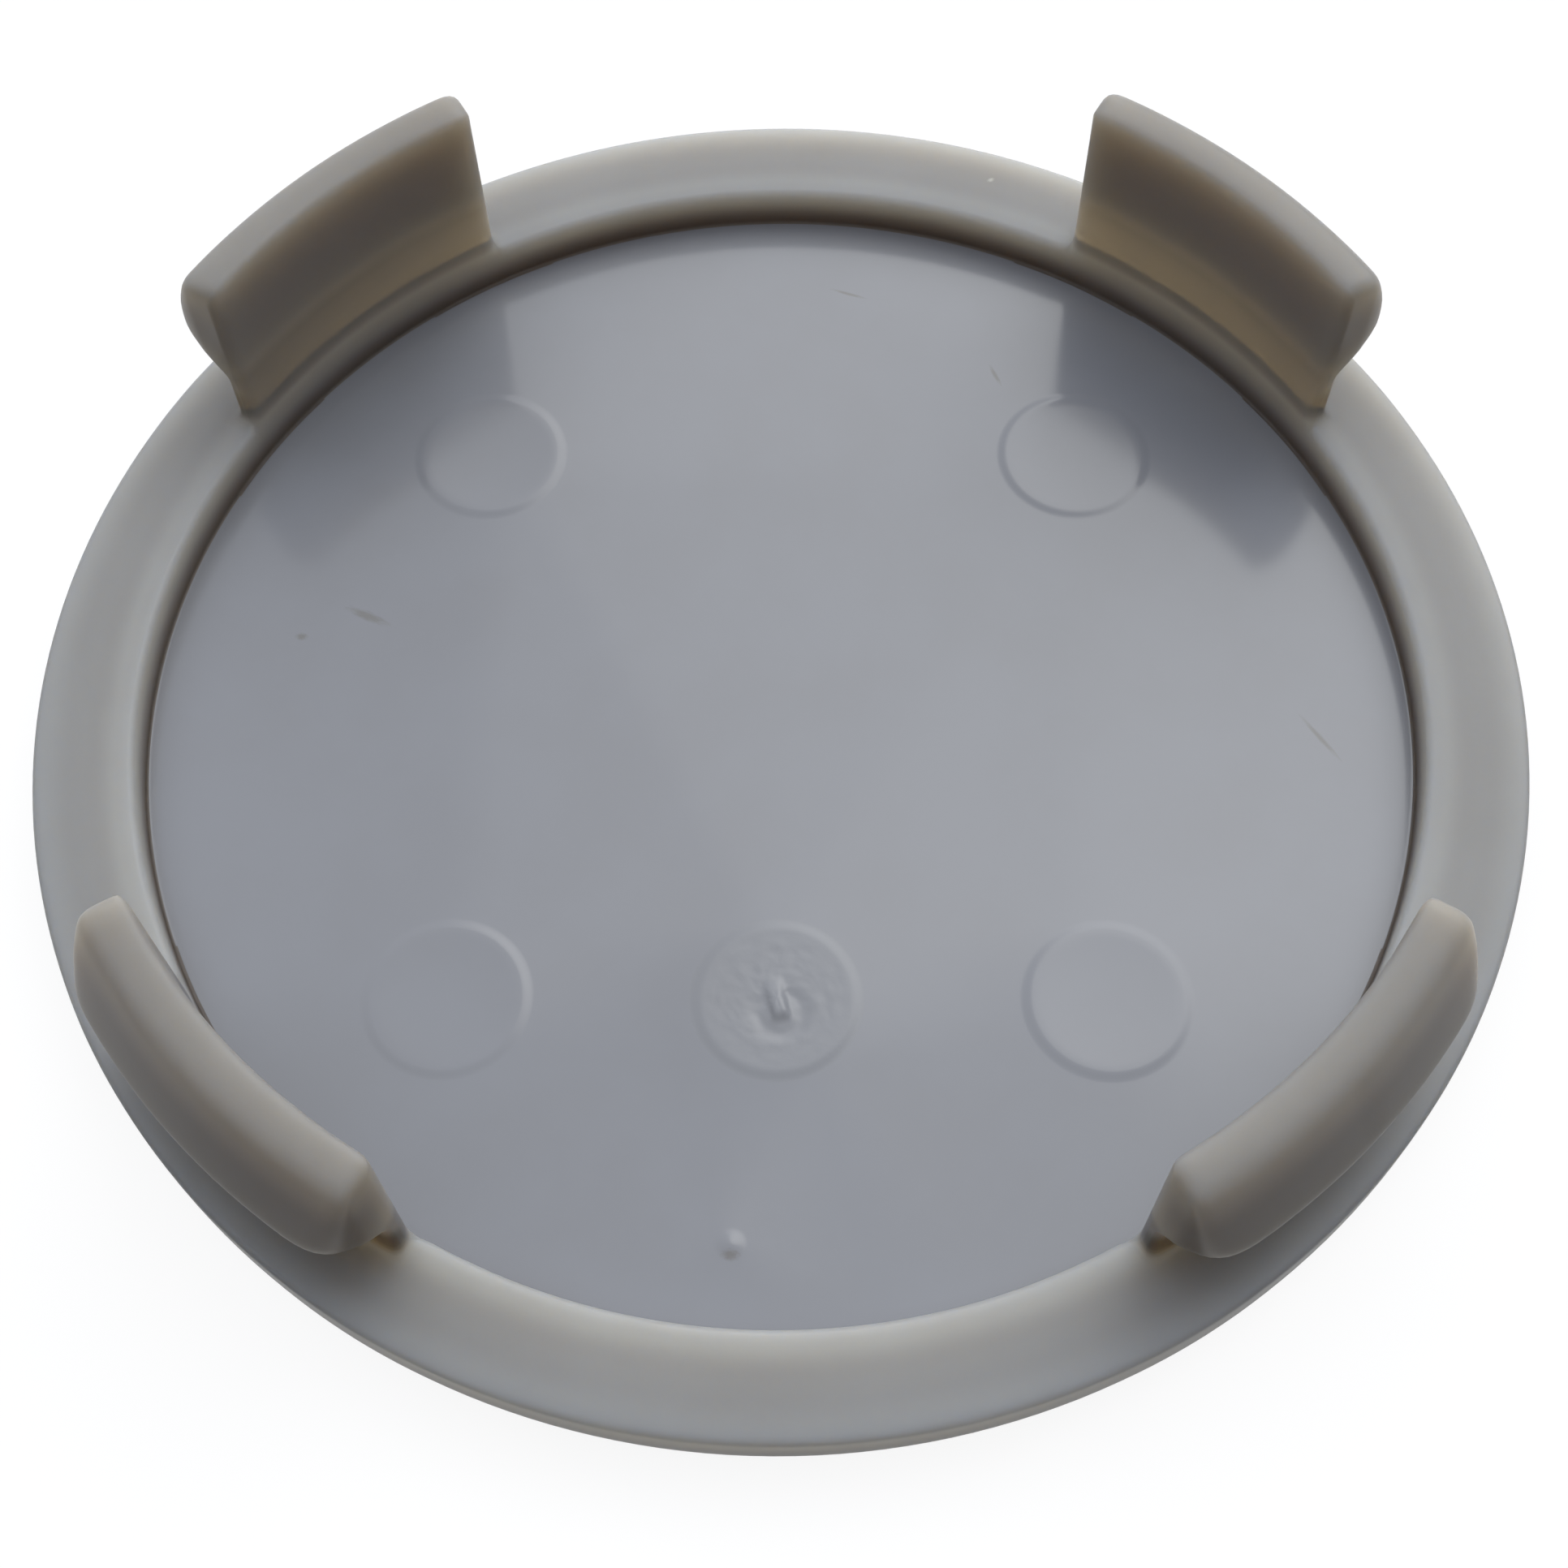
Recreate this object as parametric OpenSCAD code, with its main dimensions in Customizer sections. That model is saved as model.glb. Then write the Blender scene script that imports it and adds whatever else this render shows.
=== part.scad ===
// Snap-in wheel centre cap: one injection moulding, lying face down with its clips up.
// The front face is the plane z = 0 and the axis of the cap is the Z axis.

/* [Rim] */
// Outside diameter of the cap
cap_d = 60; // [50:0.5:90]
// Height of the rim, from the front face to the back of the ring
rim_h = 3.2; // [2.6:0.1:5]
// Width of the ring, from the cap's edge to the wall of the recess
ring_w = 4.05; // [3.8:0.05:6]
// Rounding of the front edge
front_round = 1.5; // [0.4:0.1:1.8]
// Rounding of the ring's outer edge at the back
back_round = 0.25; // [0.1:0.05:0.7]

/* [Recess] */
// Thickness of the face under the recess
face_t = 1.25; // [0.8:0.05:2]
// Rounding of the ring's inner edge between the clips
lip_round = 0.3; // [0.1:0.05:0.8]
// Fillet between the floor and the wall of the recess
floor_fillet = 0.15; // [0.1:0.05:0.5]

/* [Clips] */
// Number of snap clips
clips = 4; // [3:1:6]
// Angle that one clip spans
clip_span = 30.6; // [16:0.2:40]
// Direction of the first clip, from the X axis
clip_start = 45; // [0:1:90]
// Thickness of a clip's leg
leg_t = 1.05; // [0.8:0.05:1.4]
// Thickness of a clip across its tip
tip_t = 2.05; // [1.5:0.05:2.4]
// Rounding of the tip on the outside, where the lead-in starts
tip_round = 1; // [0.5:0.05:1.2]
// Rounding of the tip on the inside
tip_inner_round = 0.3; // [0.1:0.05:0.3]

/* [Hooks] */
// How far the hooks stand out from the legs
hook_out = 2.2; // [1.6:0.05:2.6]
// Height from the back of the ring to the widest line of the hooks
hook_h = 5.1; // [4.6:0.05:8]
// Height from the widest line of the hooks to the top of the tip
lead_h = 3.5; // [3:0.05:6]
// Rounding of the hook's edge
hook_round = 0.15; // [0.05:0.01:0.3]
// Slope of the catch under the hook, from level
catch_angle = 45; // [20:1:50]
// Fillet between the catch and the leg
catch_fillet = 0.8; // [0.2:0.1:1]

/* [Clip ends] */
// Rounding of the hook's corners, seen from above
corner_round = 1.5; // [0.5:0.1:2]
// Rounding of a clip's ends along the lead-in, over the tip and down the inside
tip_end_round = 0.45; // [0.1:0.05:0.45]
// Rounding of a clip's ends along the leg and the catch
leg_end_round = 0.3; // [0.1:0.05:0.35]
// Fillet where a clip stands on the ring
foot_fillet = 0.2; // [0.1:0.05:0.5]

/* [Moulding marks] */
// Diameter of the pads that the ejector pins leave on the floor
pad_d = 5.8; // [3:0.1:8]
// Height of the pads above the floor
pad_h = 0.07; // [0.02:0.01:0.3]
// Width of the sloped edge of a pad
pad_slope = 0.5; // [0.05:0.05:0.8]
// Depth of the hollow in the top of a pad
pad_dish = 0.05; // [0.01:0.01:0.1]
// Distance from the wall of the recess to the centre lines of the ejector pins
pin_in = 7.9; // [6.5:0.1:10]
// Length of the stub that the gate left on its pad
stub_l = 2; // [1:0.1:4]
// Width of the stub, where it is highest
stub_w = 0.9; // [0.6:0.1:2]
// Height of the stub above its pad, where it broke off
stub_h = 0.2; // [0.1:0.02:0.4]
// Turn of the stub from the Y axis
stub_turn = 15; // [-45:1:45]
// Distance from the wall of the recess to the middle of the pip on the floor
pip_in = 3.45; // [2:0.05:6]
// Direction of the pip, from the X axis
pip_angle = 266; // [250:1:290]
// Diameter of the pip
pip_d = 1.3; // [0.6:0.1:2]
// Height of the pip
pip_h = 0.1; // [0.05:0.01:0.3]

/* [Hidden] */
$fn = 96;
cap_r = cap_d / 2;
recess_r = cap_r - ring_w;
leg_r = recess_r + leg_t;
hook_r = leg_r + hook_out;
hook_z = rim_h + hook_h;
tip_z = hook_z + lead_h;
pin_r = recess_r - pin_in;
// How far a part reaches into the one that carries it
sunk = 0.3;
// How far a cutter reaches past what it cuts
over = 1;

// Centres of the roundings of the tip and of the hook, in the section of a clip
tip_c = [recess_r + tip_t - tip_round, tip_z - tip_round];
tip_inner_c = [recess_r + tip_inner_round, tip_z - tip_inner_round];
hook_c = [hook_r - hook_round, hook_z];
// The lead-in touches both roundings, and this is how far its normal rises from level
tip_to_hook = hook_c - tip_c;
lead_angle = atan2(tip_to_hook.y, tip_to_hook.x) + acos((tip_round - hook_round) / norm(tip_to_hook));
// Where the catch leaves the rounding of the hook, and where it meets the leg
catch_start = hook_c + hook_round * [sin(catch_angle), -cos(catch_angle)];
catch_end = [leg_r, catch_start.y - (catch_start.x - leg_r) * tan(catch_angle)];

// A point at a distance from another, in a direction given as an angle
function polar(from, distance, angle) = from + distance * [cos(angle), sin(angle)];

// Takes the sharp corner at the origin off what fills the quarter x > 0, y > 0
module corner_cut(r) {
    difference() {
        translate([-over, -over]) square(r + over);
        translate([r, r]) circle(r);
    }
}

// Fills the inner corner at the origin of the empty quarter x > 0, y > 0
module corner_fill(r) {
    difference() {
        translate([-sunk, -sunk]) square(r + sunk);
        translate([r, r]) circle(r);
    }
}

// Section of the disc and its ring
module disc_section() {
    difference() {
        square([cap_r, rim_h]);
        translate([-over, face_t]) square([recess_r + over, rim_h]);
        translate([cap_r, 0]) mirror([1, 0]) corner_cut(front_round);
        translate([cap_r, rim_h]) rotate(180) corner_cut(back_round);
        translate([recess_r, rim_h]) mirror([0, 1]) corner_cut(lip_round);
    }
    translate([recess_r, face_t]) mirror([1, 0]) corner_fill(floor_fillet);
}

// Fills the blunt inner corner between the catch and the leg
module catch_corner() {
    touch = catch_fillet * tan(45 - catch_angle / 2);
    difference() {
        polygon([
            catch_end + [-sunk, 0],
            catch_end + [-sunk, -touch],
            catch_end + [0, -touch],
            polar(catch_end, touch, catch_angle)
        ]);
        translate(catch_end + [catch_fillet, -touch]) circle(catch_fillet);
    }
}

// Section of a clip: leg, catch, hook, lead-in and tip
module clip_section() {
    foot = rim_h - lip_round - sunk;
    polygon([
        [recess_r, foot],
        [leg_r, foot],
        catch_end,
        catch_start,
        polar(hook_c, hook_round, lead_angle),
        polar(tip_c, tip_round, lead_angle),
        [tip_c.x, tip_z],
        [tip_inner_c.x, tip_z],
        [recess_r, tip_inner_c.y]
    ]);
    translate(tip_c) circle(tip_round);
    translate(tip_inner_c) circle(tip_inner_round);
    translate(hook_c) circle(hook_round);
    translate([leg_r, rim_h]) corner_fill(foot_fillet);
    catch_corner();
}

// Rounds the corner of the hook, seen from above, at the end of a clip that lies in the plane y = 0
module hook_corner_cut() {
    // The rounding touches the end and, from inside, the circle over the hooks
    turn = asin(corner_round / (hook_r - corner_round));
    c = polar([0, 0], hook_r - corner_round, turn);
    translate([0, 0, catch_end.y]) linear_extrude(tip_z + over - catch_end.y) difference() {
        polygon([c, polar(c, corner_round + over, turn), [hook_r + over, -over], [c.x, -over]]);
        translate(c) circle(corner_round);
    }
}

// Rounds one edge of a clip's end. The edge runs through a point of the section, and out is the
// angle of the outward normal of the face beside the end.
module end_edge_cut(point, out, r, down, up) {
    translate([point.x, 0, point.y]) rotate([0, -out, 0])
        translate([0, 0, -down]) linear_extrude(down + up) mirror([1, 0]) corner_cut(r);
}

// What the roundings take off the end of a clip that lies in the plane y = 0
module end_cuts() {
    lead_start = polar(hook_c, hook_round, lead_angle);
    lead_l = norm(tip_to_hook) + tip_round;
    hook_corner_cut();
    end_edge_cut(lead_start, lead_angle, tip_end_round, over, lead_l);
    for (turn = [lead_angle + 90, 180] / 2) tip_edge_cut(tip_c, tip_round, turn);
    tip_edge_cut(tip_inner_c, tip_inner_round, 135);
    end_edge_cut([recess_r, tip_z], 180, tip_end_round, 0, tip_z - rim_h - foot_fillet);
    end_edge_cut(catch_start, catch_angle - 90, leg_end_round, catch_start.x - leg_r, over);
}

// Rounds the edge of a clip's end where it touches a rounding of the tip, at an angle of that rounding
module tip_edge_cut(c, r, turn) {
    end_edge_cut(polar(c, r, turn), turn, tip_end_round, tip_t, tip_t);
}

// Fillet between the end of a clip and the back of the ring
module end_foot() {
    translate([recess_r + lip_round, 0, rim_h]) rotate([90, 0, 90])
        linear_extrude(leg_t - lip_round) mirror([1, 0]) corner_fill(foot_fillet);
}

// One snap clip, centred on the X axis
module clip() {
    difference() {
        rotate(-clip_span / 2) rotate_extrude(angle = clip_span) clip_section();
        for (side = [0, 1]) mirror([0, side, 0]) rotate(-clip_span / 2) end_cuts();
    }
    for (side = [0, 1]) mirror([0, side, 0]) rotate(-clip_span / 2) end_foot();
}

// Raised pad that an ejector pin leaves, with a slight hollow in its top
module ejector_pad() {
    top_r = pad_d / 2;
    foot_r = top_r + pad_slope;
    // Radius of a sphere that goes through the edge of the hollow and its lowest point
    dish_r = (top_r * top_r + pad_dish * pad_dish) / (2 * pad_dish);
    translate([0, 0, face_t]) rotate_extrude() difference() {
        polygon([[0, -sunk], [foot_r, -sunk], [foot_r, 0], [top_r, pad_h], [0, pad_h]]);
        translate([0, pad_h - pad_dish + dish_r]) circle(dish_r, $fn = 400);
    }
}

// Section of a round form that is w wide at y = 0 and h high, from its foot at y = -down
module dome_section(w, h, down) {
    dome_r = (w * w / 4 + h * h) / (2 * h);
    intersection() {
        translate([0, h - dome_r]) circle(dome_r);
        translate([-w, -down]) square([2 * w, h + down]);
    }
}

// Pad where the moulding was fed, with the stub of the gate: a round bar that climbs out of the pad and
// ends where it broke off
module gate_mark() {
    ejector_pad();
    climb = atan(stub_h / stub_l);
    translate([0, 0, face_t + pad_h]) rotate(stub_turn) translate([0, stub_l / 2, 0])
        rotate([90 - climb, 0, 0]) linear_extrude(stub_l)
            translate([0, -stub_h]) dome_section(stub_w, stub_h, sunk);
}

// Small round pip on the floor
module pip() {
    translate([0, 0, face_t]) rotate_extrude() intersection() {
        dome_section(pip_d, pip_h, sunk);
        translate([0, -sunk]) square([pip_d, pip_h + sunk]);
    }
}

module centre_cap() color([0.66, 0.665, 0.65]) {
    rotate_extrude() disc_section();
    for (i = [0 : clips - 1]) rotate(clip_start + i * 360 / clips) clip();
    for (turn = [45 : 90 : 315]) rotate(turn) translate([pin_r, 0, 0]) ejector_pad();
    translate([0, -pin_r * sin(45), 0]) gate_mark();
    rotate(pip_angle) translate([recess_r - pip_in, 0, 0]) pip();
}

centre_cap();
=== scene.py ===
import math

import bmesh
import bpy
from mathutils import Matrix, Vector, noise


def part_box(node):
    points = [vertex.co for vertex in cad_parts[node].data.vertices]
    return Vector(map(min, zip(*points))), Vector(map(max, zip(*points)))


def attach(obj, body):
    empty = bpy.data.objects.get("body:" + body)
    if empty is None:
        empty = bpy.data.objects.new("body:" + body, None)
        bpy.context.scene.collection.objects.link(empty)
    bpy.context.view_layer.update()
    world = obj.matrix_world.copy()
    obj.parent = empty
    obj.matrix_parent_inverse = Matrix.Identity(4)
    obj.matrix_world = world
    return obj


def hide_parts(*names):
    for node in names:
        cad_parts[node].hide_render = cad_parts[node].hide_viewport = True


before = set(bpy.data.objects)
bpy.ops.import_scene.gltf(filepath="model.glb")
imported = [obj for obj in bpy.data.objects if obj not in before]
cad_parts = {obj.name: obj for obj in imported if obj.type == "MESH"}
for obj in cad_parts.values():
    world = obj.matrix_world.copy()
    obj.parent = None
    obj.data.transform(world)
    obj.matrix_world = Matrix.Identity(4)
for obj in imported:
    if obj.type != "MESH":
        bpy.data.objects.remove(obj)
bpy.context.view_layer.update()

MM = 0.001
UP = (0.0, 0.0, 1.0)
PLAIN = (1.0, 1.0, 1.0)

# Section of the cap in millimetres, as in the part's source: radii from the axis, heights from the front face
CAP_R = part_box("centre_cap")[1].x / MM
TIP_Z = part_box("centre_cap")[1].z / MM
RIM_H = 3.2
FRONT_ROUND = 1.5
BACK_ROUND = 0.25
RECESS_R = CAP_R - 4.05
FACE_T = 1.25
LIP_ROUND = 0.3
FLOOR_FILLET = 0.15

# Clips, which stand on the ring from the wall of the recess outwards
CLIPS = 4
CLIP_SPAN = math.radians(30.6)
CLIP_START = math.radians(45)
LEG_R = RECESS_R + 1.05
HOOK_R = LEG_R + 2.2
HOOK_Z = RIM_H + 5.1
HOOK_ROUND = 0.15
CATCH_ANGLE = math.radians(45)
CATCH_FILLET = 0.8
TIP_T = 2.05
TIP_ROUND = 1.0
TIP_INNER_ROUND = 0.3
# Roundings at a clip's ends, and the fillet at its foot
HOOK_CORNER = 1.5
TIP_END_ROUND = 0.45
LEG_END_ROUND = 0.3
FOOT_FILLET = 0.2
# Least radius to which the rounding inside the tip shrinks at a clip's end
SHARP = 0.05

# Distances from a clip's end to the columns of its mesh next to it
END_STEPS = [0.0, 0.13, 0.45, 0.9, 1.6, 2.4]
# Distances from a clip's end to the nearest columns of the ring beside it
RING_STEPS = [0.9, 1.8]
COLUMN_STEP = math.radians(3.1)
# How far across the clip's section the points of an end face lie
ACROSS = [0.0, 0.08, 0.2, 0.42, 0.66, 0.86, 1.0]
# Steps of the roundings in the section
ROUND_STEPS = 3
FRONT_ROUND_STEPS = 6
TIP_INNER_STEPS = 2
# Distances inwards to the last points of the floor from its fillet, and to those of the front face from its edge
FLOOR_STEPS = [0.6, 0.15]
FRONT_STEPS = [0.4, 3, 9, 16, 22, 26]
# Shares of the way at which points lie on the straight runs of the section
BACK_SHARES = [0.35, 0.7, 0.93]
LEG_SHARES = [0.35, 0.75]
CATCH_SHARES = [0.4, 0.85]
LEAD_SHARES = [0.12, 0.5, 0.88]
# How near to a height the mesh counts as lying at it
LEVEL = 0.05

# Round pads on the floor of the recess, at the corners of a square, and one for the gate between the near two
PIN_AT = (RECESS_R - 7.9) * math.sqrt(0.5)
PAD_R = 2.9
PAD_SLOPE = 0.5
PAD_H = 0.07
PAD_DISH = 0.05
PAD_SIDES = 72
SLOPE_SHARES = [0.0, 0.2, 0.4, 0.6, 0.8, 1.0]
DISH_RINGS = [2.6, 2.2, 1.7, 1.2, 0.6]
GATE_RINGS = 26
# Rough skin of the gate's pad: its height, the scale of its noise, the noise's increment, lacunarity and octaves,
# and the width over which it fades out at the pad's edge
SKIN_H = 0.013
SKIN_SCALE = 2.4
SKIN_NOISE = (0.6, 2.2, 4)
SKIN_FADE = 0.5
# Stub of the gate, and the shares of its length over which it breaks off on the near side and climbs on the far one
STUB_L = 2.1
STUB_W = 0.85
STUB_H = 0.2
STUB_TURN = math.radians(15)
STUB_BREAK = 0.22
STUB_CLIMB = 0.6
# Moat round the stub's near end: its depth, middle, radius and width, and how it runs out behind the stub
MOAT_H = 0.05
MOAT_AT = -0.6
MOAT_R = 0.85
MOAT_W = 0.28
MOAT_END = 0.6
MOAT_FADE = 0.8
# Pip on the floor near the ring
PIP_AT = (-1.6, -22.4)
PIP_R = 0.65
PIP_H = 0.1
PIP_SIDES = 32
PIP_SHARES = [1.0, 0.85, 0.7, 0.55, 0.4, 0.25, 0.12]

# Material slots of the cap's mesh
MATTE, POLISHED, ROUGH = range(3)
# Finishes of the plastic: its colour, roughness and specular level, how much of the light sinks in, and the size
# and height of its grain
MATTE_FINISH = ((0.31, 0.304, 0.293), 0.38, 0.22, 1.0, 0.25, 0.0015)
POLISHED_FINISH = ((0.25, 0.256, 0.276), 0.15, 0.47, 0.0, 1.5, 0.0004)
ROUGH_FINISH = ((0.25, 0.256, 0.273), 0.24, 0.47, 0.0, 0.2, 0.003)
IOR = 1.53
GRAIN_DETAIL = 3.0
# Light that sinks into the plastic comes out again this far away, red furthest
DEPTH = 9.0
DEPTH_BY_COLOUR = (1.0, 0.82, 0.58)
# Uneven colour of the moulding
BLOTCH_SIZE = 5.0
BLOTCH_DETAIL = 4.0
BLOTCH_FADE = (0.3, 0.7)
BLOTCH_DARK = (0.985, 0.982, 0.977)
BLOTCH_LIGHT = (1.015, 1.018, 1.02)
# Painted light and shade of the matte plastic: a point of the section, the distances from it between which the
# shade fades out, and the shade. The ring is painted lighter along its two edges, a painted highlight. The corner
# of the recess, the inner side and the back of the legs and the hooks are painted darker, painted shade where
# shadow falls.
PAINTED_SECTION_LIGHT_AND_SHADE = [
    # Painted highlight along the inner and the outer edge of the ring
    ((RECESS_R + 0.5, RIM_H), (0.2, 1.5), (1.14, 1.14, 1.13)),
    ((CAP_R - 0.1, RIM_H), (0.2, 1.5), (1.14, 1.14, 1.13)),
    # Painted shade in the corner of the recess
    ((RECESS_R, FACE_T), (0.0, 1.3), (0.58, 0.49, 0.41)),
    # Painted shade on the inner side of the legs
    ((RECESS_R + 0.2, RIM_H + 1.9), (1.0, 1.9), (0.62, 0.645, 0.72)),
    # Painted shadow on the back of the legs, under the hooks
    ((LEG_R + 0.3, RIM_H + 1.3), (0.5, 1.45), (0.25, 0.23, 0.22)),
    # Painted shade on the hooks and their lead-ins
    ((HOOK_R - 0.2, HOOK_Z + 0.4), (1.2, 3.0), (0.72, 0.7, 0.69)),
]
# Painted shade: everything above the ring is painted a little darker, fading in from one height to the other
CLIP_RISE = (RIM_H, RIM_H + 0.5)
CLIP_PAINTED_SHADE = (0.82, 0.8, 0.78)
# Scuff marks on the floor, and as the last of them a painted shade on the near side of the pip, and a pale speck on
# the ring: middle, half length, half width, turn in degrees
SCUFFS_AND_PIP_SHADE = [
    ((9.5, 17.1), 0.65, 0.12, -67),
    ((22.1, -1.3), 1.35, 0.13, -55),
    ((-17.4, 4.5), 1.1, 0.25, -24),
    ((-20.1, 3.5), 0.3, 0.2, 0),
    ((3.0, 21.7), 0.9, 0.1, -19),
    # Painted shade on the near side of the pip
    ((-1.6, -22.8), 0.4, 0.25, 0),
]
SCUFF_AND_PIP_SHADE_TINT = (0.8, 0.76, 0.7)
SPECK = ((9.5, 26.7), 0.2, 0.13, 30)
SPECK_SHADE = (1.6, 1.6, 1.55)
# Scale, detail and mean of the noise that breaks up a spot, and the distances between which the spot fades out
SPOT_SCALE = 2.5
SPOT_DETAIL = 2.0
SPOT_MEAN = (0.5, 0.5, 0.5)
SPOT_FADE = (0.2, 1.1)

# The photograph's camera, solved from the outlines of the rim, of the ring and of the round pads
CAMERA_AT = Vector((1.385, -44.884, 81.890)) * MM
CAMERA_AIM = Vector((0.216, -3.355, 1.1)) * MM
CAMERA_ROLL = math.radians(-1.357)
CAMERA_LENS = 51.41
SENSOR = 36.0

# Floor of pale paper, and how brightly the camera and reflections see it
FLOOR_SIZE = 2.4
PAPER = (0.12, 0.12, 0.12, 1.0)
PAPER_GLOW = 0.9
# Window: its direction, the cosines of the angles from it between which it fades in, and its light
WINDOW = Vector((0.32, 0.58, 0.74)).normalized()
WINDOW_FADE = (0.85, 0.985)
WINDOW_LIGHT = (2.1, 2.07, 1.95)
NO_LIGHT = (0.0, 0.0, 0.0)
# Room: the direction of its light side, the cosines between which that fades in, its light and that of the rest
ROOM = Vector((0.0, 0.45, 0.85)).normalized()
ROOM_FADE = (0.35, 0.95)
ROOM_LIGHT = (1.46, 1.54, 1.7)
FRONT_LIGHT = (0.05, 0.042, 0.035)
# The room is dark near the skyline, up to these heights
SKYLINE_FADE = (0.1, 0.65)
SKYLINE_SHADE = (0.1, 0.1, 0.1)


def arc(centre, radius, start, end, steps):
    """Points on an arc from one angle in degrees to another, both ends included. The points between the ends lie
    outside the arc by as much as the subdivision will pull them in."""
    turn = [math.radians(start + (end - start) * i / steps) for i in range(steps + 1)]
    wide = radius * 3 / (2 + math.cos(turn[1] - turn[0]))
    reach = [radius] + [wide] * (steps - 1) + [radius]
    return [(centre[0] + r * math.cos(a), centre[1] + r * math.sin(a)) for r, a in zip(reach, turn)]


def line(a, b, shares):
    """Points between a and b at the given shares of the way."""
    return [(a[0] + (b[0] - a[0]) * s, a[1] + (b[1] - a[1]) * s) for s in shares]


def disc_profile():
    """The disc's section from the floor over the ring and round the rim to the front face, and the row at which
    its lip begins."""
    floor_end = RECESS_R - FLOOR_FILLET
    floor_edge = [(floor_end - d, FACE_T) for d in FLOOR_STEPS]
    fillet = arc((floor_end, FACE_T + FLOOR_FILLET), FLOOR_FILLET, -90, 0, ROUND_STEPS)
    wall = [(RECESS_R, (FACE_T + FLOOR_FILLET + RIM_H - LIP_ROUND) / 2)]
    lip = arc((RECESS_R + LIP_ROUND, RIM_H - LIP_ROUND), LIP_ROUND, 180, 90, len(ACROSS) - 2)
    foot = (LEG_R + FOOT_FILLET, RIM_H)
    back = line(foot, (CAP_R - BACK_ROUND, RIM_H), BACK_SHARES)
    edge = arc((CAP_R - BACK_ROUND, RIM_H - BACK_ROUND), BACK_ROUND, 90, 0, ROUND_STEPS)
    side = [(CAP_R, (RIM_H - BACK_ROUND + FRONT_ROUND) / 2)]
    front_edge = arc((CAP_R - FRONT_ROUND, FRONT_ROUND), FRONT_ROUND, 0, -90, FRONT_ROUND_STEPS)
    front = [(CAP_R - FRONT_ROUND - d, 0.0) for d in FRONT_STEPS]
    before = floor_edge + fillet + wall
    return before + lip + [foot] + back + edge + side + front_edge + front, len(before)


def tip_inside(pull, radius):
    """The rounding inside the tip, with its faces pulled back."""
    return arc((RECESS_R + pull + radius, TIP_Z - pull - radius), radius, 90, 180, TIP_INNER_STEPS)


def clip_outline():
    """A clip's section in three parts: the leg and the catch from the ring up to the hook, the hook and the lead-in
    up to the tip, and the points over the tip from there to the inner side."""
    tip_c = (RECESS_R + TIP_T - TIP_ROUND, TIP_Z - TIP_ROUND)
    hook_c = (HOOK_R - HOOK_ROUND, HOOK_Z)
    across, down = hook_c[0] - tip_c[0], hook_c[1] - tip_c[1]
    lead = math.degrees(math.atan2(down, across) + math.acos((TIP_ROUND - HOOK_ROUND) / math.hypot(across, down)))
    slope = math.degrees(CATCH_ANGLE)
    hook = arc(hook_c, HOOK_ROUND, slope - 90, lead, ROUND_STEPS)
    catch_foot = hook[0][1] - (hook[0][0] - LEG_R) * math.tan(CATCH_ANGLE)
    touch = CATCH_FILLET * math.tan(math.pi / 4 - CATCH_ANGLE / 2)
    catch = arc((LEG_R + CATCH_FILLET, catch_foot - touch), CATCH_FILLET, 180, 90 + slope, ROUND_STEPS)
    leg_foot = (LEG_R, RIM_H + FOOT_FILLET)
    leg = [leg_foot] + line(leg_foot, catch[0], LEG_SHARES)
    tip = arc(tip_c, TIP_ROUND, lead, 90, ROUND_STEPS)
    under = leg + catch + line(catch[-1], hook[0], CATCH_SHARES)
    return under, hook + line(hook[-1], tip[0], LEAD_SHARES), tip + tip_inside(0.0, TIP_INNER_ROUND)


def pulled_in(path, amounts):
    """The points of an open path, each moved to the left of the path by its amount."""
    moved = []
    for i, (p, amount) in enumerate(zip(path, amounts)):
        a, b = path[max(i - 1, 0)], path[min(i + 1, len(path) - 1)]
        run = Vector((b[0] - a[0], b[1] - a[1])).normalized()
        moved.append((p[0] - run.y * amount, p[1] + run.x * amount))
    return moved


def rounded_off(radius, distance):
    """How far a rounding has taken a face back at a distance from the end that it turns into."""
    short = max(radius - distance, 0.0)
    return radius - math.sqrt(radius ** 2 - short ** 2)


def clip_rows(distance):
    """A clip's section at a distance from its end: rows from the ring to the tip, each with points from the
    inner side to the outer side. The last row goes over the tip."""
    under, lead, over = clip_outline()
    outer = under + lead
    n = len(outer)
    path = outer + over + [(RECESS_R, p[1]) for p in outer[::-1]]
    leg_pull, tip_pull = rounded_off(LEG_END_ROUND, distance), rounded_off(TIP_END_ROUND, distance)
    path = pulled_in(path, [leg_pull] * len(under) + [tip_pull] * (len(path) - len(under)))
    inside = tip_inside(tip_pull, max(TIP_INNER_ROUND - tip_pull, SHARP))
    end = n + len(over)
    path[end - len(inside) : end] = inside
    reach = HOOK_R - rounded_off(HOOK_CORNER, distance)
    # Points that were pulled in by more than the hook's rounding have passed each other, so they are put in order
    heights = sorted(z for _, z in path[:n]) + [z for _, z in path[n:]]
    path = [(min(r, reach), z) for (r, _), z in zip(path, heights)]
    sides = zip(path[:n], path[: -n - 1 : -1])
    rows = [[((1 - t) * i[0] + t * o[0], (1 - t) * i[1] + t * o[1]) for t in ACROSS] for o, i in sides]
    return rows + [path[n:end][::-1]]


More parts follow.
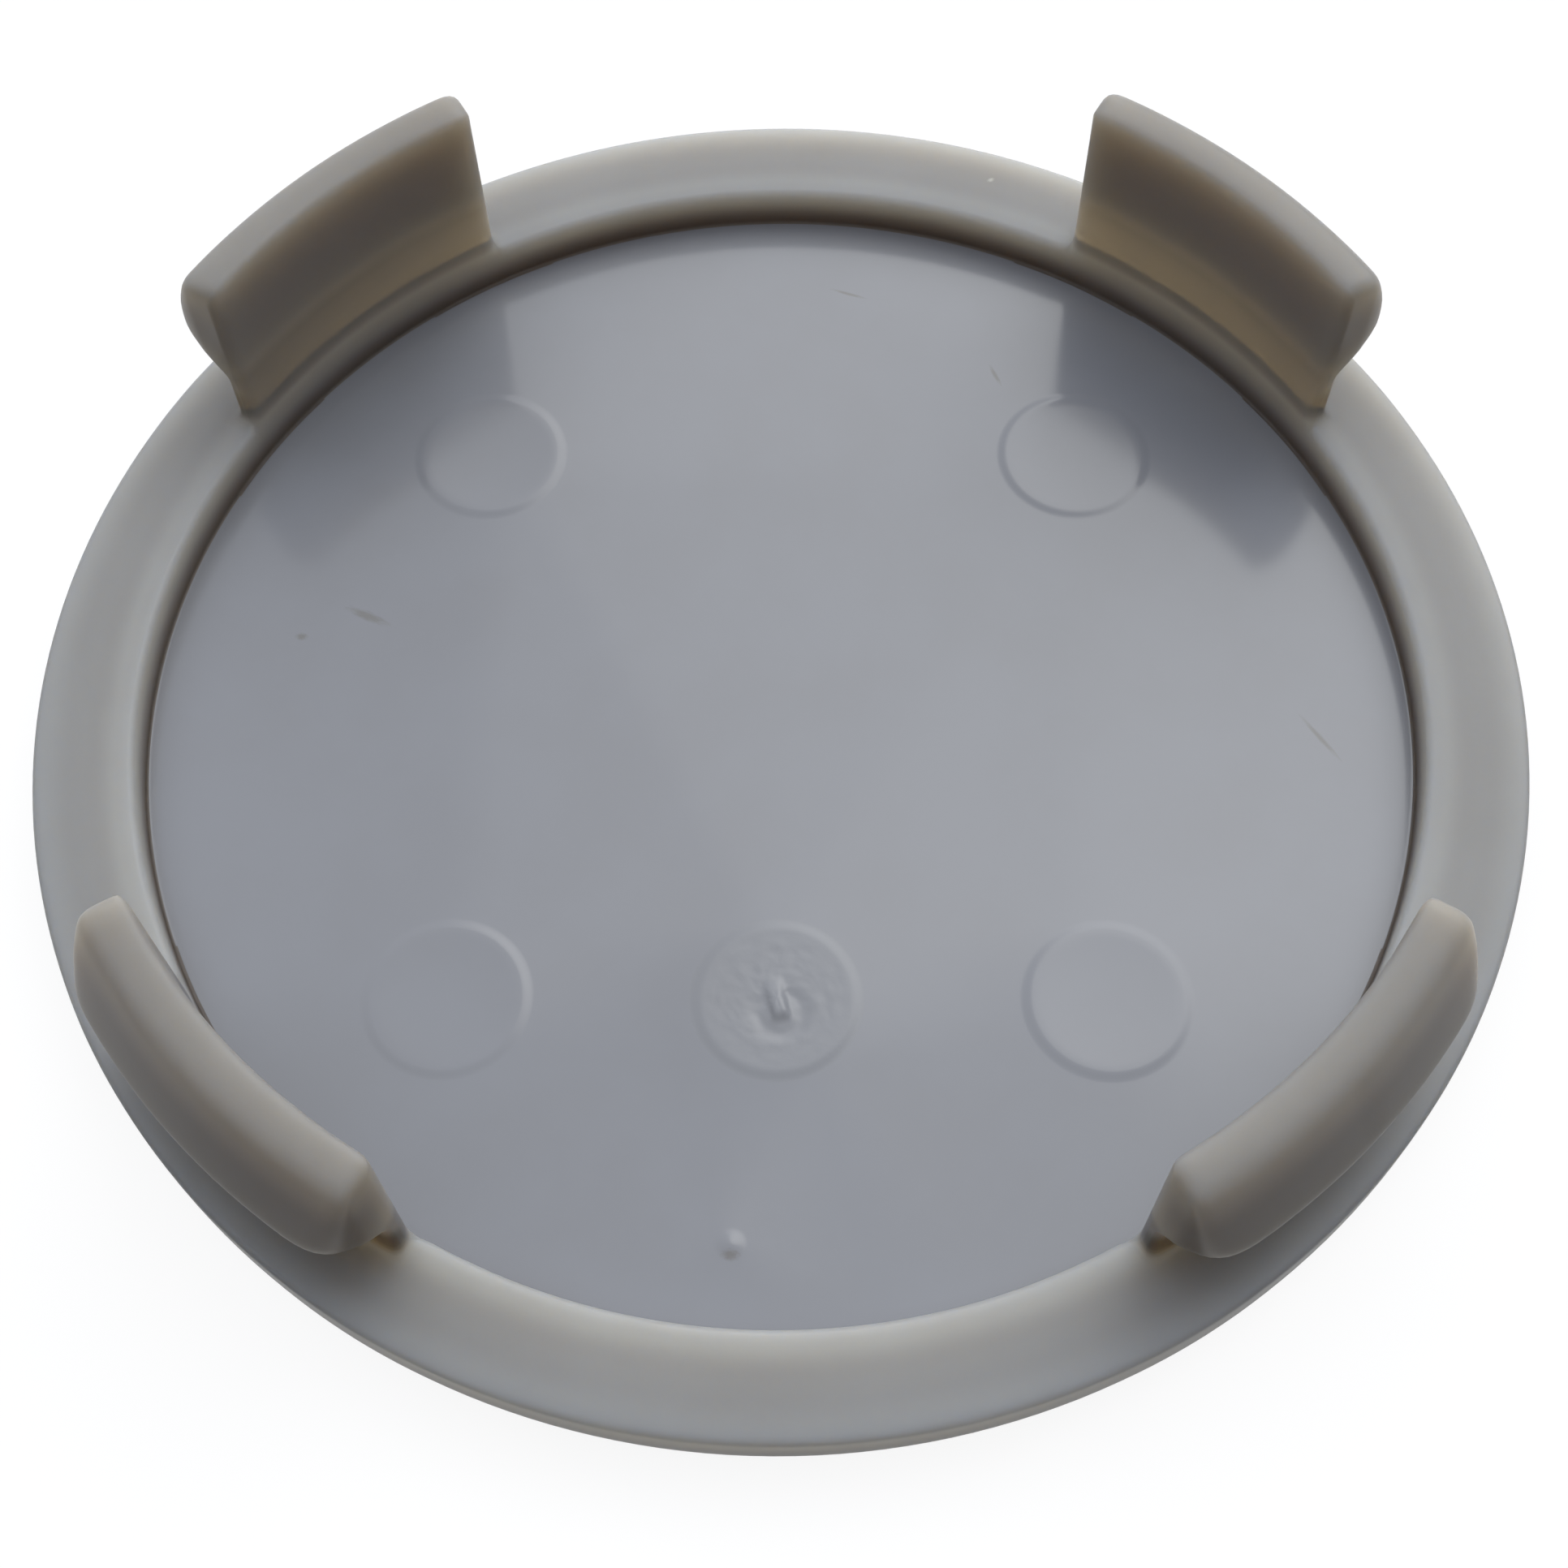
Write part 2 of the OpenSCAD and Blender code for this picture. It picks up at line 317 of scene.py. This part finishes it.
def columns():
    """The columns of the mesh round the cap, as (azimuth at the ring, azimuth of the clip, distance from the
    clip's end). Where there is no clip, the last two are None. At a clip's ends, its fillet parts the first two."""
    mean_r = (RECESS_R + LEG_R) / 2
    pitch = 2 * math.pi / CLIPS
    made = []
    for i in range(CLIPS):
        centre = CLIP_START + i * pitch
        first, last = centre - CLIP_SPAN / 2, centre + CLIP_SPAN / 2
        steps = [(first + s / mean_r, s) for s in END_STEPS]
        inner_first, inner_last = steps[-1][0], last - END_STEPS[-1] / mean_r
        count = round((inner_last - inner_first) / COLUMN_STEP)
        middle = [(inner_first + (inner_last - inner_first) * k / count, HOOK_CORNER) for k in range(1, count)]
        other = [(last - s / mean_r, s) for s in END_STEPS[::-1]]
        clip = [[a, a, s] for a, s in steps + middle + other]
        clip[0][0] -= FOOT_FILLET / mean_r
        clip[-1][0] += FOOT_FILLET / mean_r
        after = [last + s / mean_r for s in RING_STEPS]
        before_next = [first + pitch - s / mean_r for s in RING_STEPS[::-1]]
        gap = before_next[0] - after[-1]
        count = round(gap / COLUMN_STEP)
        ring = after + [after[-1] + gap * k / count for k in range(1, count)] + before_next
        made += clip + [[a, None, None] for a in ring]
    return made


def strip(bm, left, right):
    """Quads between two rows of vertices."""
    for quad in zip(left, right, right[1:], left[1:]):
        bm.faces.new(quad)


def build_cage():
    """Quads of the ring, rim, front face and clips, before they are subdivided. The disc's section stands in every
    column. Between the ends of a clip, the clip's two sides stand on it in place of the row from the lip to the
    foot."""
    profile, lip_row = disc_profile()
    last = len(ACROSS) - 1
    foot_row = lip_row + last
    cols = columns()
    bm = bmesh.new()

    def vert(azimuth, r, z):
        return bm.verts.new((r * math.cos(azimuth) * MM, r * math.sin(azimuth) * MM, z * MM))

    ring, clip = [], []
    for azimuth, clip_azimuth, distance in cols:
        inside = azimuth == clip_azimuth
        under = range(lip_row + 1, foot_row) if inside else ()
        ring.append([None if j in under else vert(azimuth, *p) for j, p in enumerate(profile)])
        if clip_azimuth is None:
            clip.append(None)
            continue
        *rows, over = clip_rows(distance)
        within = range(1, last) if inside else ()
        stack = [[None if i in within else vert(clip_azimuth, *p) for i, p in enumerate(row)] for row in rows]
        clip.append(stack + [[vert(clip_azimuth, *p) for p in over]])
    n = len(cols)
    for a in range(n):
        b = (a + 1) % n
        if clip[a] is None or clip[b] is None:
            strip(bm, ring[a], ring[b])
            continue
        strip(bm, ring[a][: lip_row + 1], ring[b][: lip_row + 1])
        strip(bm, ring[a][foot_row:], ring[b][foot_row:])
        inner = [[ring[k][lip_row]] + [row[0] for row in clip[k]] for k in (a, b)]
        outer = [[ring[k][foot_row]] + [row[last] for row in clip[k]] for k in (b, a)]
        strip(bm, *inner)
        strip(bm, *outer)
        strip(bm, clip[a][-1], clip[b][-1])
    for k in range(n):
        if clip[k] is None or cols[k][0] == cols[k][1]:
            continue
        first_end = cols[k][0] < cols[k][1]
        grid = [ring[k][lip_row : foot_row + 1]] + clip[k]
        for low, high in zip(grid, grid[1:]):
            strip(bm, *((low, high) if first_end else (high, low)))
    mesh = bpy.data.meshes.new("cap_cage")
    bm.to_mesh(mesh)
    bm.free()
    return mesh


def subdivided(cage):
    """The cage after one step of subdivision, as a mesh."""
    holder = bpy.data.objects.new("cage", cage)
    bpy.context.scene.collection.objects.link(holder)
    modifier = holder.modifiers.new("smooth", "SUBSURF")
    modifier.levels = modifier.render_levels = 1
    depsgraph = bpy.context.evaluated_depsgraph_get()
    mesh = bpy.data.meshes.new_from_object(holder.evaluated_get(depsgraph))
    bpy.data.objects.remove(holder)
    bpy.data.meshes.remove(cage)
    return mesh


def rim_of_hole(bm, height):
    """The vertices round the open hole that lies at a height, in order."""
    found = [v for v in bm.verts if v.is_boundary and abs(v.co.z / MM - height) < LEVEL]
    return sorted(found, key=lambda v: math.atan2(v.co.y, v.co.x))


def ring_of(bm, centre, radius, sides, height):
    """A ring of new vertices round a centre, whose height may depend on the place."""
    made = []
    for k in range(sides):
        a = 2 * math.pi * k / sides
        x, y = radius * math.cos(a), radius * math.sin(a)
        z = height(x, y) if callable(height) else height
        made.append(bm.verts.new(((centre[0] + x) * MM, (centre[1] + y) * MM, z * MM)))
    return made


def mound(bm, centre, rings, top, sides, slot):
    """A round form on the floor: rings of (radius, height) from its foot inwards, closed by a point. Returns its
    foot."""
    loops = [ring_of(bm, centre, r, sides, z) for r, z in rings]
    tip = bm.verts.new((centre[0] * MM, centre[1] * MM, top * MM))
    corners = [(k, (k + 1) % sides) for k in range(sides)]
    for outer, inner in zip(loops, loops[1:]):
        for a, b in corners:
            bm.faces.new((outer[a], outer[b], inner[b], inner[a])).material_index = slot
    for a, b in corners:
        bm.faces.new((loops[-1][a], loops[-1][b], tip)).material_index = slot
    return loops[0]


def smooth_step(t):
    """0 up to 0, 1 from 1 on, and a smooth rise in between."""
    t = min(max(t, 0.0), 1.0)
    return t * t * (3 - 2 * t)


def pad_slope():
    """The sloped edge of a pad, rounded at its foot and at its top."""
    return [(PAD_R + PAD_SLOPE * (1 - s), FACE_T + PAD_H * smooth_step(s)) for s in SLOPE_SHARES]


def plain_pad(bm, centre):
    """A pad with a dished top."""
    def dish(r):
        return FACE_T + PAD_H - PAD_DISH * (1 - (r / PAD_R) ** 2)

    rings = pad_slope() + [(r, dish(r)) for r in DISH_RINGS]
    return mound(bm, centre, rings, dish(0.0), PAD_SIDES, POLISHED)


def gate_top(x, y):
    """The height of the gate pad's top at a place on it: its rough skin, and the stub of the gate in its moat."""
    u = x * math.cos(STUB_TURN) + y * math.sin(STUB_TURN)
    v = -x * math.sin(STUB_TURN) + y * math.cos(STUB_TURN)
    edge = smooth_step((PAD_R - math.hypot(x, y)) / SKIN_FADE)
    skin = noise.fractal(Vector((x, y, 0.0)) * SKIN_SCALE, *SKIN_NOISE) * SKIN_H * edge
    along = v / STUB_L + 0.5
    end = smooth_step(along / STUB_BREAK) * smooth_step((1 - along) / STUB_CLIMB)
    stub = STUB_H * smooth_step(1 - (2 * u / STUB_W) ** 2) * end
    away = (math.hypot(u, v - MOAT_AT) - MOAT_R) / MOAT_W
    moat = -MOAT_H * math.exp(-away ** 2) * smooth_step((MOAT_END - v) / MOAT_FADE)
    return FACE_T + PAD_H + skin + stub + moat


def gate_pad(bm, centre):
    """The pad that carries the stub of the gate."""
    rings = pad_slope() + [(PAD_R * (1 - k / GATE_RINGS), gate_top) for k in range(1, GATE_RINGS)]
    return mound(bm, centre, rings, gate_top(0.0, 0.0), PAD_SIDES, ROUGH)


def pip(bm):
    """The small pip on the floor."""
    rings = [(PIP_R * s, FACE_T + PIP_H * smooth_step(1 - s)) for s in PIP_SHARES]
    return mound(bm, PIP_AT, rings, FACE_T + PIP_H, PIP_SIDES, POLISHED)


def loop_edges(bm, loop):
    """The edges round a loop of vertices. Missing ones are made."""
    return [bm.edges.get(pair) or bm.edges.new(pair) for pair in zip(loop, loop[1:] + loop[:1])]


def close_floor(bm):
    """Makes the marks on the floor of the recess and fills the floor round them."""
    hole = rim_of_hole(bm, FACE_T)
    for v in hole:
        v.co.z = FACE_T * MM
    feet = [plain_pad(bm, (x, y)) for x in (-PIN_AT, PIN_AT) for y in (-PIN_AT, PIN_AT)]
    feet.append(gate_pad(bm, (0.0, -PIN_AT)))
    feet.append(pip(bm))
    edges = [e for loop in [hole] + feet for e in loop_edges(bm, loop)]
    made = bmesh.ops.triangle_fill(bm, use_beauty=True, use_dissolve=False, edges=edges, normal=UP)
    for f in made["geom"]:
        if isinstance(f, bmesh.types.BMFace):
            f.material_index = POLISHED


def close_front(bm):
    """Fills the middle of the front face."""
    hole = rim_of_hole(bm, 0.0)
    middle = bm.verts.new((0.0, 0.0, 0.0))
    for a, b in zip(hole, hole[1:] + hole[:1]):
        bm.faces.new((b, a, middle))


def build_cap():
    """The whole moulding as one closed mesh, which stands for the CAD node."""
    mesh = subdivided(build_cage())
    bm = bmesh.new()
    bm.from_mesh(mesh)
    floor_r = (RECESS_R - FLOOR_FILLET) * MM
    for f in bm.faces:
        centre = f.calc_center_median()
        level = FACE_T / 2 * MM < centre.z < (FACE_T + LEVEL) * MM
        f.material_index = POLISHED if level and centre.xy.length < floor_r else MATTE
    close_floor(bm)
    close_front(bm)
    bmesh.ops.recalc_face_normals(bm, faces=bm.faces[:])
    bm.to_mesh(mesh)
    bm.free()
    mesh.name = "cap"
    mesh.shade_smooth()
    mesh.materials.append(plastic("matte_plastic", MATTE_FINISH, matte_painted_light_shade_and_speck))
    mesh.materials.append(plastic("polished_plastic", POLISHED_FINISH, scuffs_and_pip_shade))
    mesh.materials.append(plastic("rough_plastic", ROUGH_FINISH, lambda tree, place: []))
    cap = bpy.data.objects.new("cap", mesh)
    bpy.context.scene.collection.objects.link(cap)
    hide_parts("centre_cap")
    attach(cap, "root")


def new_material(name):
    """A material, its empty node tree, and the tree's output node."""
    mat = bpy.data.materials.new(name)
    mat.use_nodes = True
    tree = mat.node_tree
    tree.nodes.clear()
    return mat, tree, tree.nodes.new("ShaderNodeOutputMaterial")


def operate(tree, kind, operation, values):
    """The node of an operation on sockets and plain values."""
    node = tree.nodes.new(kind)
    node.operation = operation
    for socket, value in zip(node.inputs, values):
        if isinstance(value, bpy.types.NodeSocket):
            tree.links.new(value, socket)
        else:
            socket.default_value = value
    return node


def number(tree, operation, *values):
    """The number that comes out of an operation on numbers."""
    return operate(tree, "ShaderNodeMath", operation, values).outputs[0]


def vector(tree, operation, *values):
    """The vector that comes out of an operation on vectors."""
    return operate(tree, "ShaderNodeVectorMath", operation, values).outputs["Vector"]


def measure(tree, operation, *values):
    """The number that comes out of an operation on vectors."""
    return operate(tree, "ShaderNodeVectorMath", operation, values).outputs["Value"]


def fade(tree, value, edge, core, dim, bright):
    """A colour that goes from dim to bright as a value goes from edge to core."""
    node = tree.nodes.new("ShaderNodeMapRange")
    node.data_type = "FLOAT_VECTOR"
    node.interpolation_type = "SMOOTHSTEP"
    named = {socket.identifier: socket for socket in node.inputs}
    named["From_Min_FLOAT3"].default_value = (edge,) * 3
    named["From_Max_FLOAT3"].default_value = (core,) * 3
    named["To_Min_FLOAT3"].default_value = dim
    named["To_Max_FLOAT3"].default_value = bright
    tree.links.new(value, named["Vector"])
    return node.outputs["Vector"]


def noise_node(tree, place, scale, detail):
    """A noise texture at a place."""
    node = tree.nodes.new("ShaderNodeTexNoise")
    node.inputs["Scale"].default_value = scale
    node.inputs["Detail"].default_value = detail
    tree.links.new(place, node.inputs["Vector"])
    return node


def section_place(tree, place):
    """The place in the cap's section, as a vector of radius and height."""
    radius = measure(tree, "LENGTH", vector(tree, "MULTIPLY", place, (1.0, 1.0, 0.0)))
    join = tree.nodes.new("ShaderNodeCombineXYZ")
    tree.links.new(radius, join.inputs["X"])
    tree.links.new(measure(tree, "DOT_PRODUCT", place, UP), join.inputs["Y"])
    return join.outputs[0]


def matte_painted_light_shade_and_speck(tree, place):
    """The painted light and shade of the ring and the clips, and the pale speck on the ring."""
    section = section_place(tree, place)
    made = []
    for (r, z), (near, far), shade in PAINTED_SECTION_LIGHT_AND_SHADE:
        away = measure(tree, "DISTANCE", section, (r * MM, z * MM, 0.0))
        made.append(fade(tree, away, near * MM, far * MM, shade, PLAIN))
    height = measure(tree, "DOT_PRODUCT", place, UP)
    made.append(fade(tree, height, CLIP_RISE[0] * MM, CLIP_RISE[1] * MM, PLAIN, CLIP_PAINTED_SHADE))
    return made + [spot_shade(tree, place, SPECK, RIM_H, SPECK_SHADE)]


def scuffs_and_pip_shade(tree, place):
    """The shades of the scuff marks on the floor of the recess, and the painted shade beside the pip."""
    return [spot_shade(tree, place, spot, FACE_T, SCUFF_AND_PIP_SHADE_TINT) for spot in SCUFFS_AND_PIP_SHADE]


def spot_shade(tree, place, spot, height, shade):
    """A shade in a long round spot at a height, broken up along its edge."""
    middle, half_length, half_width, turn = spot
    local = tree.nodes.new("ShaderNodeMapping")
    local.vector_type = "TEXTURE"
    local.inputs["Location"].default_value = (middle[0] * MM, middle[1] * MM, height * MM)
    local.inputs["Rotation"].default_value = (0.0, 0.0, math.radians(turn))
    local.inputs["Scale"].default_value = (half_length * MM, half_width * MM, MM)
    tree.links.new(place, local.inputs["Vector"])
    ragged = noise_node(tree, local.outputs["Vector"], SPOT_SCALE, SPOT_DETAIL)
    rough = vector(tree, "ADD", local.outputs["Vector"], ragged.outputs["Color"])
    away = measure(tree, "DISTANCE", rough, SPOT_MEAN)
    return fade(tree, away, *SPOT_FADE, shade, PLAIN)


def plastic(name, finish, shades):
    """Grey plastic. The shades, among them painted light and shade, are made by a function of the tree and the
    place, and multiply its colour.
    """
    colour, roughness, specular, sunk, grain_size, grain_height = finish
    mat, tree, out = new_material(name)
    shader = tree.nodes.new("ShaderNodeBsdfPrincipled")
    shader.inputs["Roughness"].default_value = roughness
    shader.inputs["IOR"].default_value = IOR
    shader.inputs["Specular IOR Level"].default_value = specular
    shader.inputs["Subsurface Weight"].default_value = sunk
    shader.inputs["Subsurface Radius"].default_value = DEPTH_BY_COLOUR
    shader.inputs["Subsurface Scale"].default_value = DEPTH * MM
    place = tree.nodes.new("ShaderNodeTexCoord").outputs["Object"]
    blotches = noise_node(tree, place, 1 / (BLOTCH_SIZE * MM), BLOTCH_DETAIL)
    total = fade(tree, blotches.outputs["Fac"], *BLOTCH_FADE, BLOTCH_DARK, BLOTCH_LIGHT)
    for factor in [colour] + shades(tree, place):
        total = vector(tree, "MULTIPLY", total, factor)
    tree.links.new(total, shader.inputs["Base Color"])
    grain = noise_node(tree, place, 1 / (grain_size * MM), GRAIN_DETAIL)
    bump = tree.nodes.new("ShaderNodeBump")
    bump.inputs["Distance"].default_value = grain_height * MM
    tree.links.new(grain.outputs["Fac"], bump.inputs["Height"])
    tree.links.new(bump.outputs["Normal"], shader.inputs["Normal"])
    tree.links.new(shader.outputs["BSDF"], out.inputs["Surface"])
    return mat


def sight(tree):
    """1 for the rays that see the studio directly, mirrored or through something, and 0 for the rays that light."""
    path = tree.nodes.new("ShaderNodeLightPath")
    seen = number(tree, "MAXIMUM", path.outputs["Is Camera Ray"], path.outputs["Is Glossy Ray"])
    return number(tree, "MAXIMUM", seen, path.outputs["Is Transmission Ray"])


def floor_material():
    """Pale paper, which the camera and reflections see as white with the cap's shadow on it."""
    mat, tree, out = new_material("floor_paper")
    diffuse = tree.nodes.new("ShaderNodeBsdfDiffuse")
    diffuse.inputs["Color"].default_value = PAPER
    glow = tree.nodes.new("ShaderNodeEmission")
    add = tree.nodes.new("ShaderNodeAddShader")
    tree.links.new(number(tree, "MULTIPLY", sight(tree), PAPER_GLOW), glow.inputs["Strength"])
    tree.links.new(diffuse.outputs[0], add.inputs[0])
    tree.links.new(glow.outputs[0], add.inputs[1])
    tree.links.new(add.outputs[0], out.inputs["Surface"])
    return mat


def build_floor():
    """The floor on which the cap lies."""
    half = FLOOR_SIZE / 2
    corners = [(-half, -half, 0), (half, -half, 0), (half, half, 0), (-half, half, 0)]
    mesh = bpy.data.meshes.new("floor")
    mesh.from_pydata(corners, [], [(0, 1, 2, 3)])
    mesh.materials.append(floor_material())
    floor = bpy.data.objects.new("floor", mesh)
    bpy.context.scene.collection.objects.link(floor)


def build_camera():
    """The photograph's camera."""
    forward = (CAMERA_AIM - CAMERA_AT).normalized()
    right = forward.cross(Vector(UP)).normalized()
    up = right.cross(forward)
    x = math.cos(CAMERA_ROLL) * right + math.sin(CAMERA_ROLL) * up
    y = -math.sin(CAMERA_ROLL) * right + math.cos(CAMERA_ROLL) * up
    data = bpy.data.cameras.new("camera")
    data.lens = CAMERA_LENS
    data.sensor_width = SENSOR
    data.clip_start = MM
    camera = bpy.data.objects.new("camera", data)
    turn = Matrix((x, y, -forward)).transposed().to_4x4()
    camera.matrix_world = Matrix.Translation(CAMERA_AT) @ turn
    bpy.context.scene.collection.objects.link(camera)
    bpy.context.scene.camera = camera


def build_light():
    """A soft studio dome: a broad bright window high behind the cap, and a room that dims towards the front and
    the skyline. The camera and reflections see the room as white, and the camera doesn't see the window."""
    world = bpy.data.worlds.new("studio")
    bpy.context.scene.world = world
    world.use_nodes = True
    tree = world.node_tree
    tree.nodes.clear()
    out = tree.nodes.new("ShaderNodeOutputWorld")
    place = tree.nodes.new("ShaderNodeTexCoord").outputs["Generated"]
    skyline = fade(tree, measure(tree, "DOT_PRODUCT", place, UP), *SKYLINE_FADE, SKYLINE_SHADE, PLAIN)
    room = fade(tree, measure(tree, "DOT_PRODUCT", place, ROOM), *ROOM_FADE, FRONT_LIGHT, ROOM_LIGHT)
    window = fade(tree, measure(tree, "DOT_PRODUCT", place, WINDOW), *WINDOW_FADE, NO_LIGHT, WINDOW_LIGHT)
    plain = tree.nodes.new("ShaderNodeMix")
    plain.data_type = "VECTOR"
    sockets = {socket.identifier: socket for socket in plain.inputs}
    tree.links.new(sight(tree), sockets["Factor_Float"])
    tree.links.new(vector(tree, "MULTIPLY", room, skyline), sockets["A_Vector"])
    sockets["B_Vector"].default_value = PLAIN
    camera_ray = tree.nodes.new("ShaderNodeLightPath").outputs["Is Camera Ray"]
    total = vector(tree, "MULTIPLY_ADD", window, number(tree, "SUBTRACT", 1.0, camera_ray), plain.outputs[1])
    background = tree.nodes.new("ShaderNodeBackground")
    tree.links.new(total, background.inputs["Color"])
    tree.links.new(background.outputs[0], out.inputs["Surface"])


build_cap()
build_floor()
build_camera()
build_light()
bpy.context.scene.view_settings.view_transform = "Standard"
